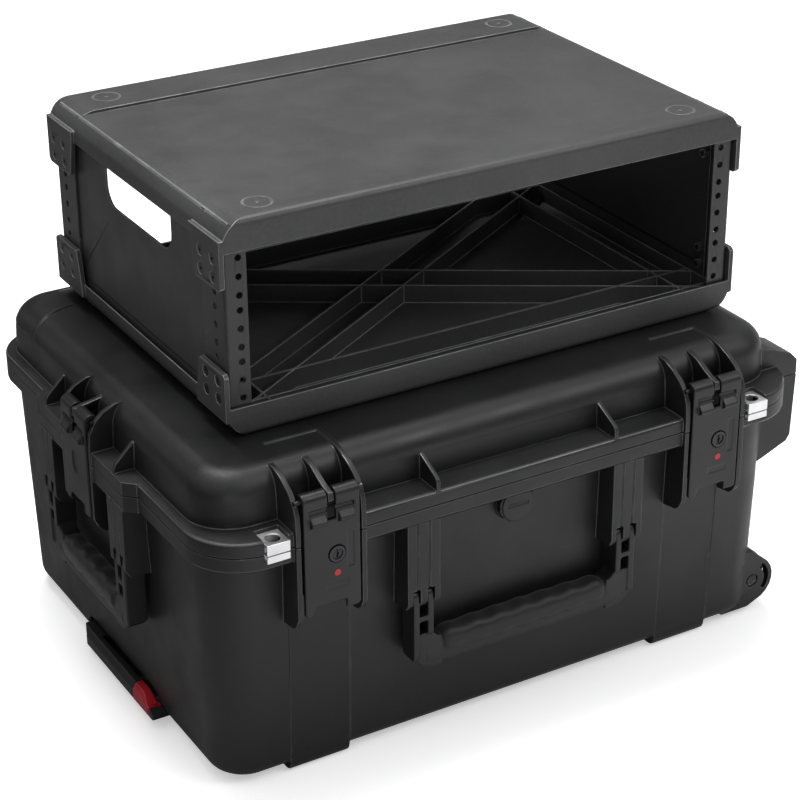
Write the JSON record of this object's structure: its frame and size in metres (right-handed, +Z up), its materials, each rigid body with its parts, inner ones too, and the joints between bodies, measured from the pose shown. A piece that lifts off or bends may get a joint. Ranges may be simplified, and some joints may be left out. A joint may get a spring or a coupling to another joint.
{
  "type": "rack equipment case",
  "caption": "Wheeled moulded transport case with latches, folding handles and a pull handle, carrying a removable short rack cage with drilled rails on its lid.",
  "frame": {"origin": "on the floor under the middle of the case walls, which is within 5 mm of the middle of the overall box; the hinge knuckles at the back and the bumpers at the wheel end stand out a little further than the latches", "axes": "+X to the wheel end, +Y to the hinges at the back, +Z up; the latches and front handle face -Y"},
  "size_m": [0.62, 0.485, 0.4761],
  "materials": {
    "case_plastic": "fine moulded grain",
    "latch_plastic": "fine moulded grain",
    "inner_plastic": "smooth",
    "cage_plastic": "fine leather grain",
    "cage_panel": "smooth satin",
    "rail_steel": "black powder coat",
    "stainless": "bright satin",
    "steel": "zinc plated",
    "black_steel": "black oxide",
    "lock_metal": "dark nickel",
    "foam": "open-cell foam",
    "gasket_rubber": "soft",
    "grip_rubber": "soft overmould",
    "red_plastic": "satin",
    "tube_aluminium": "dark anodised",
    "tyre": "hard rubber"
  },
  "bodies": {
    "base": {"base_shell": "case_plastic", "base_foam": "foam", "base_padlock_plates": "stainless", "front_handle_pins": "steel", "side_handle_pins": "steel", "hinge_pins": "steel", "pull_handle_guides": "inner_plastic", "pull_handle_cover": "case_plastic", "cover_screws": "steel", "wheel_axles": "black_steel", "valve_body": "inner_plastic", "valve_seal": "gasket_rubber"},
    "lid": {"lid_shell": "case_plastic", "lid_gasket": "gasket_rubber", "lid_foam": "foam", "lid_padlock_plates": "stainless", "latch_pins": "black_steel"},
    "cage": {"cage_top_tray": "cage_plastic", "cage_bottom_tray": "cage_plastic", "cage_side_left": "cage_panel", "cage_side_right": "cage_panel", "rail_front_left": "rail_steel", "rail_front_right": "rail_steel", "rail_rear_left": "rail_steel", "rail_rear_right": "rail_steel", "cage_screws": "black_steel", "cage_nuts": "steel"},
    "valve": {"valve_knob": "case_plastic"},
    "front_latch_left": {"front_latch_left": "latch_plastic", "lock_lens_left": "red_plastic"},
    "front_latch_right": {"front_latch_right": "latch_plastic", "lock_lens_right": "red_plastic"},
    "lock_left": {"lock_cylinder_left": "lock_metal"},
    "lock_right": {"lock_cylinder_right": "lock_metal"},
    "side_latch_left": {"side_latch_left": "latch_plastic"},
    "side_latch_right": {"side_latch_right": "latch_plastic"},
    "front_handle": {"front_handle_frame": "latch_plastic", "front_handle_grip": "grip_rubber"},
    "side_handle": {"side_handle_frame": "latch_plastic", "side_handle_grip": "grip_rubber"},
    "pull_outer": {"pull_outer_tubes": "tube_aluminium"},
    "pull_handle": {"pull_inner_tubes": "tube_aluminium", "pull_grip": "inner_plastic", "button_spring": "steel"},
    "pull_button": {"pull_button": "red_plastic"},
    "wheel_front": {"wheel_tyre_front": "tyre", "wheel_hub_front": "inner_plastic"},
    "wheel_rear": {"wheel_tyre_rear": "tyre", "wheel_hub_rear": "inner_plastic"}
  },
  "joints": [
    {"name": "lid_hinge", "type": "hinge", "parent": "base", "child": "lid", "pos_m": [0, 0.239, 0.234], "axis": [-1, 0, 0], "range_deg": [0, 95]},
    {"name": "front_latch_left_pivot", "type": "hinge", "parent": "lid", "child": "front_latch_left", "pos_m": [-0.1875, -0.228, 0.271], "axis": [-1, 0, 0], "range_deg": [0, 100]},
    {"name": "front_latch_right_pivot", "type": "hinge", "parent": "lid", "child": "front_latch_right", "pos_m": [0.1875, -0.228, 0.271], "axis": [-1, 0, 0], "range_deg": [0, 100]},
    {"name": "lock_left_turn", "type": "hinge", "parent": "front_latch_left", "child": "lock_left", "pos_m": [-0.1835, -0.233, 0.22], "axis": [0, -1, 0], "range_deg": [0, 90]},
    {"name": "lock_right_turn", "type": "hinge", "parent": "front_latch_right", "child": "lock_right", "pos_m": [0.1915, -0.233, 0.22], "axis": [0, -1, 0], "range_deg": [0, 90]},
    {"name": "side_latch_left_pivot", "type": "hinge", "parent": "lid", "child": "side_latch_left", "pos_m": [-0.297, 0.005, 0.271], "axis": [0, 1, 0], "range_deg": [0, 100]},
    {"name": "side_latch_right_pivot", "type": "hinge", "parent": "lid", "child": "side_latch_right", "pos_m": [0.297, 0.005, 0.271], "axis": [0, -1, 0], "range_deg": [0, 100]},
    {"name": "front_handle_swing", "type": "hinge", "parent": "base", "child": "front_handle", "pos_m": [0, -0.2215, 0.1495], "axis": [-1, 0, 0], "range_deg": [0, 92]},
    {"name": "side_handle_swing", "type": "hinge", "parent": "base", "child": "side_handle", "pos_m": [-0.293, 0.005, 0.1645], "axis": [0, 1, 0], "range_deg": [0, 92]},
    {"name": "pull_outer_slide", "type": "slide", "parent": "base", "child": "pull_outer", "axis": [-1, 0, 0], "range_m": [0, 0.28]},
    {"name": "pull_inner_slide", "type": "slide", "parent": "pull_outer", "child": "pull_handle", "axis": [-1, 0, 0], "range_m": [0, 0.3]},
    {"name": "pull_button_press", "type": "slide", "parent": "pull_handle", "child": "pull_button", "axis": [1, 0, 0], "range_m": [0, 0.003]},
    {"name": "wheel_front_spin", "type": "hinge", "parent": "base", "child": "wheel_front", "pos_m": [0.272, -0.1735, 0.033], "axis": [0, 1, 0], "continuous": true},
    {"name": "wheel_rear_spin", "type": "hinge", "parent": "base", "child": "wheel_rear", "pos_m": [0.272, 0.1865, 0.033], "axis": [0, 1, 0], "continuous": true},
    {"name": "valve_turn", "type": "hinge", "parent": "base", "child": "valve", "pos_m": [-0.002, -0.212, 0.203], "axis": [0, -1, 0], "range_deg": [0, 90]},
    {"name": "cage_lift", "type": "slide", "parent": "lid", "child": "cage", "axis": [0, 0, 1], "range_m": [0, 0.25]}
  ]
}
